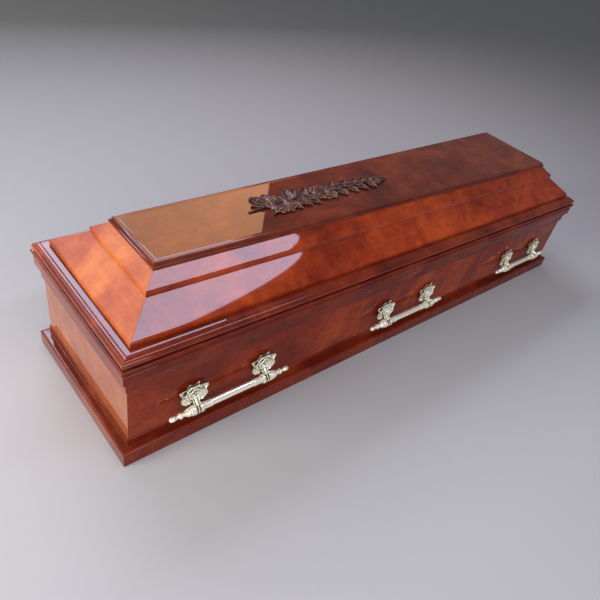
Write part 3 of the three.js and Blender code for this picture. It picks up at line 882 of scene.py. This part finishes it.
def cupped_leaf(shells, matrix, length, width, thickness, cup, lift, taper=0.75):
    """Cast leaf along +X, its sides raised and its midrib proud. A small taper gives a blunt tip."""

    def pair(u, v):
        belly = math.sin(math.pi * min(1.0, 0.12 + 0.88 * u) ** 0.9)
        half = max(0.5 * width * belly**taper if belly > 0 else 0.0, 0.03 * width)
        rise = cup * v * v * math.sin(math.pi * u) + lift * u * u
        rib = 0.5 * cup * math.exp(-((v / 0.14) ** 2)) * (1 - u)
        wave = 0.18 * cup * math.cos(9 * math.pi * u) * abs(v)
        upper = Vector((u * length, half * v, thickness + rise + rib + wave))
        return upper, Vector((u * length, half * v, rise))

    shells.add_sheet(17, 11, pair, matrix)


def leaf(shells, matrix, length, width, thickness, relief, teeth=5):
    """Carved leaf along +X: toothed, its edges raised, its midrib and side veins cut in."""

    def pair(u, v):
        belly = math.sin(math.pi * u**0.75) ** 0.8 if 0 < u < 1 else 0.0
        tooth = 1 + 0.2 * (1 - 2 * abs((teeth * u) % 1 - 0.5))
        half = max(0.46 * width * belly * tooth, 0.02 * width)
        side = abs(v)
        vein = 0.5 + 0.5 * math.cos(2 * math.pi * teeth * (u - 0.22 * side))
        height = thickness + relief * (0.25 + 0.75 * side**1.2)
        height -= 0.45 * relief * vein * math.sin(math.pi * min(1.0, side * 1.1))
        height -= 0.5 * relief * math.exp(-((side / 0.12) ** 2))
        along = u * length - 0.05 * length * math.sin(math.pi * u) * side
        return Vector((along, half * v, height)), Vector((along, half * v, 0))

    shells.add_sheet(21, 13, pair, matrix)


def strap(shells, points, widths, thickness, steps=8):
    """Bowed strip through (out, up) points, with raised edges and a sunk middle."""
    route = smoothed(points, steps)
    span = len(route) - 1
    spread = smoothed([(i, width) for i, width in enumerate(widths)], span // (len(widths) - 1))

    def pair(u, v):
        i = round(u * span)
        out, up = route[i]
        before, after = Vector(route[max(i - 1, 0)]), Vector(route[min(i + 1, span)])
        along = (after - before).normalized()
        face = Vector((along.y, -along.x)) * (-1 if along.y < 0 else 1)
        crown = thickness * (0.5 + 0.25 * math.cos(math.pi * v * 1.6))
        half = spread[min(i, len(spread) - 1)][1] / 2
        upper = Vector((half * v, out + face.x * crown, up + face.y * crown))
        return upper, Vector((half * v, out - face.x * thickness / 2, up - face.y * thickness / 2))

    shells.add_sheet(span + 1, 9, pair)


def open_rose(shells, matrix, radius, depth, petals, turn, finish):
    """Open rose: a ground, two rings of cupped petals and a tight ring round a deep eye."""
    ring = [(radius * 0.62, 0.0), (radius * 0.66, depth * 0.14), (radius * 0.3, depth * 0.2)]
    ground = []
    for reach, height in ring:
        row = []
        for j in range(LATHE_STEPS + 1):
            angle = 2 * math.pi * j / LATHE_STEPS
            row.append(Vector((reach * math.cos(angle), reach * math.sin(angle), height)))
        ground.append(row)
    base = [point for row in ground for point in row[:-1]]
    faces = [tuple(range(LATHE_STEPS)), tuple(range(2 * LATHE_STEPS, 3 * LATHE_STEPS))]
    for i in range(2):
        for j in range(LATHE_STEPS):
            k = (j + 1) % LATHE_STEPS
            a = i * LATHE_STEPS
            faces.append((a + j, a + k, a + LATHE_STEPS + k, a + LATHE_STEPS + j))
    shells.add(base, faces, matrix)
    step = 2 * math.pi / petals
    rings = (
        (petals, turn, 0.15, 1.06, 0.58 * step, 0.16, 0.70, 0.10),
        (petals, turn + step / 2, 0.2, 0.78, 0.54 * step, 0.30, 0.88, 0.10),
        (4, turn + 0.4, 0.27, 0.52, 0.24 * math.pi, 0.40, 0.84, 0.02),
    )
    for count, first, inner, outer, half_width, low, high, curl in rings:
        one = Shells()
        reach = (inner * radius, outer * radius)
        petal(one, *reach, half_width, low * depth, high * depth, curl * depth, 0.15 * depth)
        vertices, copies = ring_of(one, count, first, finish)
        shells.add(vertices, copies, matrix)


# Cast handles, in the handle's own axes: X along the bar, Y away from the wall, Z up from the bar


def flute(angle):
    """Eight slightly hollow faces between soft edges."""
    share = (angle / (2 * math.pi) * BAR_FLUTES) % 1 - 0.5
    flat = math.cos(math.pi / BAR_FLUTES) / math.cos(2 * math.pi / BAR_FLUTES * share)
    return flat - 0.02 * (1 - 4 * share * share)


def bar_shells():
    shells = Shells()
    axis = Matrix.Translation((0, BAR_STAND_OFF, 0))
    edge = CAST_EDGE
    round_steps = BAR_FLUTES * 12
    rod = [(-BAR_HALF, BAR_RADIUS), (BAR_HALF, BAR_RADIUS)]
    shells.add_lathe(rod, round_steps, ripple=flute, matrix=axis)
    outer_end = BAR_HALF - COLLAR_WIDTH - COLLAR_GAP
    inner_end = outer_end - FERRULE_LENGTH
    ferrule = [
        (inner_end, BAR_RADIUS * 0.9),
        (inner_end, FERRULE_RADIUS - edge),
        (inner_end + edge, FERRULE_RADIUS),
        (inner_end + 3 * edge, FERRULE_RADIUS),
        (inner_end + 4 * edge, FERRULE_RADIUS - edge / 2),
        (outer_end - 4 * edge, FERRULE_RADIUS - edge / 2),
        (outer_end - 3 * edge, FERRULE_RADIUS),
        (outer_end - edge, FERRULE_RADIUS),
        (outer_end, FERRULE_RADIUS - edge),
        (outer_end, BAR_RADIUS * 0.9),
    ]
    for sign in (-1, 1):
        shells.add_lathe([(sign * x, r) for x, r in ferrule], LATHE_STEPS, matrix=axis)
    return shells


# Turning of the finial, as shares of its length and of the bar's radius: cup, bead and olive
FINIAL_TURNING = (
    (0.0, 1.3), (0.02, 1.42), (0.08, 1.42), (0.11, 1.14), (0.15, 1.28),
    (0.25, 1.12), (0.35, 0.72), (0.4, 0.6), (0.43, 0.8), (0.46, 0.62),
    (0.53, 0.98), (0.6, 0.62), (0.63, 0.44), (0.66, 0.62), (0.69, 0.5),
    (0.8, 0.76), (0.92, 0.72), (0.98, 0.5), (1.0, 0.1),
)


def finial_shells(sign):
    shells = Shells()
    points = [(stop * FINIAL_LENGTH, share * BAR_RADIUS) for stop, share in FINIAL_TURNING]
    start = BAR_HALF + FINIAL_GAP
    profile = [(sign * (start + along), radius) for along, radius in smoothed(points, 4)]
    shells.add_lathe(profile, LATHE_STEPS, matrix=Matrix.Translation((0, BAR_STAND_OFF, 0)))
    return shells


def collar_shells(shells, finish):
    inner = BAR_RADIUS + COLLAR_GAP
    outer = BAR_RADIUS + COLLAR_WALL
    waist = outer - COLLAR_WAIST
    half = COLLAR_WIDTH / 2
    ring = COLLAR_RING
    edge = CAST_EDGE
    left = [(-half, inner), (-half, outer - edge), (-half + edge, outer)]
    left += [(-half + ring / 2 - edge / 2, outer), (-half + ring / 2, outer - edge / 2)]
    left += [(-half + ring / 2 + edge / 2, outer), (-half + ring - edge, outer)]
    left += [(-half + ring, outer - edge)]
    left += [(-half + ring, waist - 0.0006)]
    right = [(-x, r) for x, r in reversed(left)]
    axis = Matrix.Translation((0, BAR_STAND_OFF, 0))
    shells.add_lathe(left + right, LATHE_STEPS, closed=True, matrix=axis)
    turns = [math.pi * k / 8 for k in range(8, -1, -1)]
    half_round = [(COLLAR_BEAD * math.cos(turn), COLLAR_BEAD * math.sin(turn)) for turn in turns]
    bead = Shells()
    bead.add_lathe(half_round, 8, matrix=Matrix.Translation((waist - 0.2 * COLLAR_BEAD, 0, 0)))
    vertices, faces = ring_of(bead, COLLAR_BEADS, 0, finish)
    shells.add(vertices, faces, axis @ Matrix.Rotation(QUARTER, 4, "Y"))


def bracket_shells(finish):
    shells = Shells()
    facing = Matrix(((1, 0, 0, 0), (0, 0, 1, 0.0004), (0, 1, 0, ROSE_RISE), (0, 0, 0, 1)))
    open_rose(shells, facing, ROSE_HEAD, ROSE_DEPTH, 5, -QUARTER, finish)
    start = 0.3 * ROSE_HEAD
    for degrees in CAST_LEAF_TURNS:
        turn = Matrix.Rotation(math.radians(degrees), 4, "Z")
        place = facing @ turn @ Matrix.Translation((start, 0, ROSE_DEPTH * 0.1))
        low = math.sin(math.radians(degrees)) < 0
        width, lift, taper = (1.0, 0.5, 0.42) if low else (0.7, 0.3, 0.75)
        length = 1.1 * ROSE_RADIUS - start
        cupped_leaf(shells, place, length, width * ROSE_RADIUS, 0.0022, 0.007, ROSE_DEPTH * lift, taper)
    for degrees in CAST_TIP_TURNS:
        turn = Matrix.Rotation(math.radians(degrees), 4, "Z")
        place = facing @ turn @ Matrix.Translation((start, 0, ROSE_DEPTH * 0.1))
        length = 0.95 * ROSE_RADIUS - start
        cupped_leaf(shells, place, length, 0.3 * ROSE_RADIUS, 0.002, 0.002, ROSE_DEPTH * 0.3)
    points = [(ROSE_DEPTH * 0.3, ROSE_RISE * 0.6), (BAR_STAND_OFF * 0.72, ROSE_RISE * 0.44),
              (BAR_STAND_OFF, BAR_RADIUS + COLLAR_WALL / 2)]
    strap(shells, points, (0.013, 0.0135, 0.0165), 0.0085)
    collar_shells(shells, finish)
    return shells


def handle_axes(side, place):
    """Matrix from the handle's own axes to the frame, from the box of its bar."""
    low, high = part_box(f"{side}_{place}_handle_bar")
    middle = (low + high) / 2
    turn = math.pi - math.atan(TAPER) if side == "front" else math.atan(TAPER)
    rotation = Matrix.Rotation(turn, 4, "Z")
    return Matrix.Translation(middle) @ rotation @ Matrix.Translation((0, -BAR_STAND_OFF, 0))


def add_casting(shells, recess, matrix, node, material, angle):
    vertices = [matrix @ point for point in shells.vertices]
    piece = finish_mesh(f"{node}_cast", vertices, shells.faces, material, recess, angle)
    settle(piece, node)


def add_handles(metal):
    bar = bar_shells()
    bar_recess = [0.0] * len(bar.vertices)
    bracket = bracket_shells(metal)
    bracket_recess = recess_of(bracket, RECESS_REACH_METAL)
    for side, wall_sign in WALL_SIDES.items():
        for place in PLACES:
            axes = handle_axes(side, place)
            base = f"{side}_{place}_handle"
            add_casting(bar, bar_recess, axes, f"{base}_bar", metal, BAR_SMOOTH_ANGLE)
            for sign in (-1, 1):
                end = "head" if sign == wall_sign else "foot"
                place_on_bar = axes @ Matrix.Translation((sign * BRACKET_HALF, 0, 0))
                node = f"{base}_{end}_bracket"
                add_casting(bracket, bracket_recess, place_on_bar, node, metal, CAST_SMOOTH_ANGLE)
                finial = finial_shells(sign)
                finial_recess = [0.0] * len(finial.vertices)
                add_casting(finial, finial_recess, axes, f"{base}_{end}_finial", metal, CAST_SMOOTH_ANGLE)


# Rose spray


# Leaves of the spray: root and tip as shares of the half length and the width, then their width share
SPRAY_LEAVES = (
    ((-0.72, 0.02), (-0.86, 0.46), 0.34),
    ((-0.72, 0.04), (-0.69, 0.46), 0.34),
    ((-0.78, -0.06), (-0.93, 0.10), 0.12),
    ((-0.70, -0.16), (-0.80, -0.46), 0.18),
    ((-0.60, -0.2), (-0.62, -0.49), 0.16),
    ((-0.48, -0.04), (-0.40, 0.46), 0.25),
    ((-0.46, -0.02), (-0.28, 0.44), 0.18),
    ((-0.50, -0.1), (-0.44, -0.5), 0.20),
    ((-0.40, -0.1), (-0.30, -0.46), 0.20),
    ((-0.30, 0.0), (-0.15, 0.38), 0.22),
    ((-0.26, -0.08), (-0.18, -0.48), 0.20),
    ((-0.32, 0.0), (-0.12, -0.3), 0.18),
    ((0.12, 0.04), (0.24, 0.36), 0.20),
    ((0.10, -0.06), (0.06, -0.42), 0.18),
    ((0.14, 0.0), (0.34, 0.1), 0.16),
    ((0.26, 0.02), (0.44, 0.32), 0.20),
    ((0.22, -0.08), (0.24, -0.42), 0.20),
    ((0.32, 0.0), (0.50, 0.02), 0.16),
    ((0.42, 0.0), (0.60, 0.29), 0.20),
    ((0.38, -0.08), (0.42, -0.4), 0.18),
    ((0.48, -0.04), (0.66, -0.02), 0.15),
    ((0.56, -0.02), (0.72, 0.25), 0.18),
    ((0.52, -0.08), (0.58, -0.38), 0.18),
    ((0.68, -0.08), (0.72, -0.38), 0.16),
    ((0.70, 0.0), (0.82, 0.19), 0.14),
    ((0.82, -0.06), (1.0, -0.04), 0.16),
)
SPRAY_ROSES = (((-0.62, -0.1), 0.4, 0.3), ((-0.02, -0.02), 0.35, 1.1), ((0.82, -0.04), 0.19, 0.7))


def spray_shells(finish):
    shells = Shells()
    half = SPRAY_LENGTH / 2
    origin = Matrix.Translation((SPRAY_CENTRE_X, 0, SPRAY_LOW.z))

    def bed(u, v):
        along = 2 * u - 1
        reach = max(0.2 * SPRAY_WIDTH * math.sqrt(max(0.0, 1 - along * along)), 0.0005)
        point = Vector((0.9 * half * along, reach * v, 0.35 * SPRAY_DEPTH))
        return point, Vector((point.x, point.y, 0))

    def stem(u, v):
        turn = QUARTER * (v + 1)
        girth = 0.003 * (1 - 0.4 * u)
        along = (-1.0 + 1.75 * u) * half
        across = (-0.09 + 0.05 * math.sin(5.5 * u)) * SPRAY_WIDTH + girth * math.cos(turn)
        point = Vector((along, across, 0.3 * SPRAY_DEPTH + girth * math.sin(turn)))
        return point, Vector((point.x, point.y, 0))

    shells.add_sheet(41, 9, bed, origin)
    for k, (root, tip, width) in enumerate(SPRAY_LEAVES):
        start = Vector((root[0] * half, root[1] * SPRAY_WIDTH, 0))
        end = Vector((tip[0] * half, tip[1] * SPRAY_WIDTH, 0))
        run = end - start
        turn = Matrix.Rotation(math.atan2(run.y, run.x), 4, "Z")
        place = origin @ Matrix.Translation(start) @ turn
        level = 0.30 + 0.12 * (k % 3)
        leaf(shells, place, run.length, 1.25 * width * SPRAY_WIDTH, level * SPRAY_DEPTH, 0.38 * SPRAY_DEPTH)
    shells.add_sheet(25, 7, stem, origin)
    for (along, across), radius, turn in SPRAY_ROSES:
        place = origin @ Matrix.Translation((along * half, across * SPRAY_WIDTH, 0))
        open_rose(shells, place, radius * SPRAY_WIDTH, 0.90 * SPRAY_DEPTH, 5, turn, finish)
    return shells


def add_spray(material):
    spray = spray_shells(material)
    recess = recess_of(spray, RECESS_REACH_WOOD)
    # Painted shade: every point lower than this level is painted near black, as if in a crease
    foot = SPRAY_LOW.z + 0.2 * SPRAY_DEPTH
    name = "rose_spray_carved"
    piece = finish_mesh(name, spray.vertices, spray.faces, material, recess, CAST_SMOOTH_ANGLE, foot)
    settle(piece, "rose_spray")


# Studio

FLOOR_SIZE = 60.0


def add_floor():
    half = FLOOR_SIZE / 2
    corners = [(-half, -half, 0), (half, -half, 0), (half, half, 0), (-half, half, 0)]
    mesh = bpy.data.meshes.new("studio_floor")
    mesh.from_pydata(corners, [], [(0, 1, 2, 3)])
    material = new_material("pale floor")
    colour = (0.49, 0.48, 0.47, 1)
    Tree(material.node_tree).surface({}, Base_Color=colour, Roughness=0.8, Specular_IOR_Level=0.2)
    mesh.materials.append(material)
    floor = bpy.data.objects.new("studio_floor", mesh)
    bpy.context.scene.collection.objects.link(floor)


def add_softbox(name, place, facing, size, radiance, colour, shape="RECTANGLE", turn=0.0):
    """Area light of a given brightness as the lacquer mirrors it. turn is about the way it faces."""
    lamp = bpy.data.lights.new(name, "AREA")
    lamp.shape = shape
    lamp.size, lamp.size_y = size
    share = math.pi / 4 if shape == "ELLIPSE" else 1.0
    lamp.energy = radiance * math.pi * size[0] * size[1] * share
    lamp.color = colour
    box = bpy.data.objects.new(name, lamp)
    aim = Vector(facing).to_track_quat("-Z", "Y").to_matrix() @ Matrix.Rotation(turn, 3, "Z")
    box.matrix_world = Matrix.Translation(place) @ aim.to_4x4()
    bpy.context.scene.collection.objects.link(box)


def add_world():
    world = bpy.data.worlds.new("studio")
    world.use_nodes = True
    t = Tree(world.node_tree)
    world.node_tree.nodes.clear()
    back = t.add("ShaderNodeBackground")
    t.set(back, Color=(0.90, 0.94, 1.0, 1), Strength=0.16)
    out = t.add("ShaderNodeOutputWorld")
    t.link(back.outputs["Background"], out.inputs["Surface"])
    bpy.context.scene.world = world


def add_lights():
    cool = (0.70, 0.74, 1.0)
    warm = (1.0, 0.54, 0.29)
    neutral = (1.0, 0.97, 0.94)
    down, forward, right, backward = (0, 0, -1), (0, -1, 0), (1, 0, 0), (0, 1, 0)
    skew = math.radians(3.2)
    add_softbox("overhead strip", (0, -1.33, 2.8), down, (2.88, 0.4), 8.5, cool, "ELLIPSE", skew)
    add_softbox("warm back panel", (1.305, 3.0, 2.75), forward, (1.77, 0.9), 3.4, warm)
    add_softbox("cool back panel", (1.1, 3.0, 3.95), forward, (1.5, 1.1), 8.5, cool)
    add_softbox("cool side panel", (-0.55, 3.0, 3.4), forward, (1.8, 2.4), 8.5, cool)
    add_softbox("left back panel", (-3.1, 3.0, 2.6), forward, (2.2, 1.6), 1.8, cool)
    add_softbox("foot end box", (-3.3, 0.3, 1.1), right, (1.6, 1.8), 12.0, neutral)
    add_softbox("front panel", (-1.9, -3.4, 2.0), backward, (4.0, 2.6), 2.3, neutral)


def add_camera():
    data = bpy.data.cameras.new("photo camera")
    data.sensor_width = CAMERA_SENSOR
    data.lens = CAMERA_LENS
    data.shift_x, data.shift_y = CAMERA_SHIFT
    data.clip_start = 0.01
    camera = bpy.data.objects.new("photo camera", data)
    flat = math.cos(CAMERA_DIP)
    east = flat * math.sin(CAMERA_HEADING)
    north = flat * math.cos(CAMERA_HEADING)
    ahead = Vector((east, north, -math.sin(CAMERA_DIP)))
    right = ahead.cross(Vector((0, 0, 1))).normalized()
    up = right.cross(ahead)
    level = Matrix((right, up, -ahead)).transposed()
    turned = level @ Matrix.Rotation(CAMERA_ROLL, 3, "Z")
    camera.matrix_world = Matrix.Translation(CAMERA_PLACE) @ turned.to_4x4()
    bpy.context.scene.collection.objects.link(camera)
    bpy.context.scene.camera = camera


bpy.context.scene.view_settings.view_transform = "Standard"
WOODS = make_wood_materials()
INSIDE = make_inside_wood()
METAL = make_handle_metal()
CARVING = make_carving_wood()
add_camera()
add_world()
add_lights()
add_floor()
add_plinth(WOODS)
add_rim(WOODS)
add_lid_frame(WOODS)
add_slopes(WOODS)
add_top_board(WOODS)
dress_plain_boards(WOODS, INSIDE)
add_handles(METAL)
add_spray(CARVING)
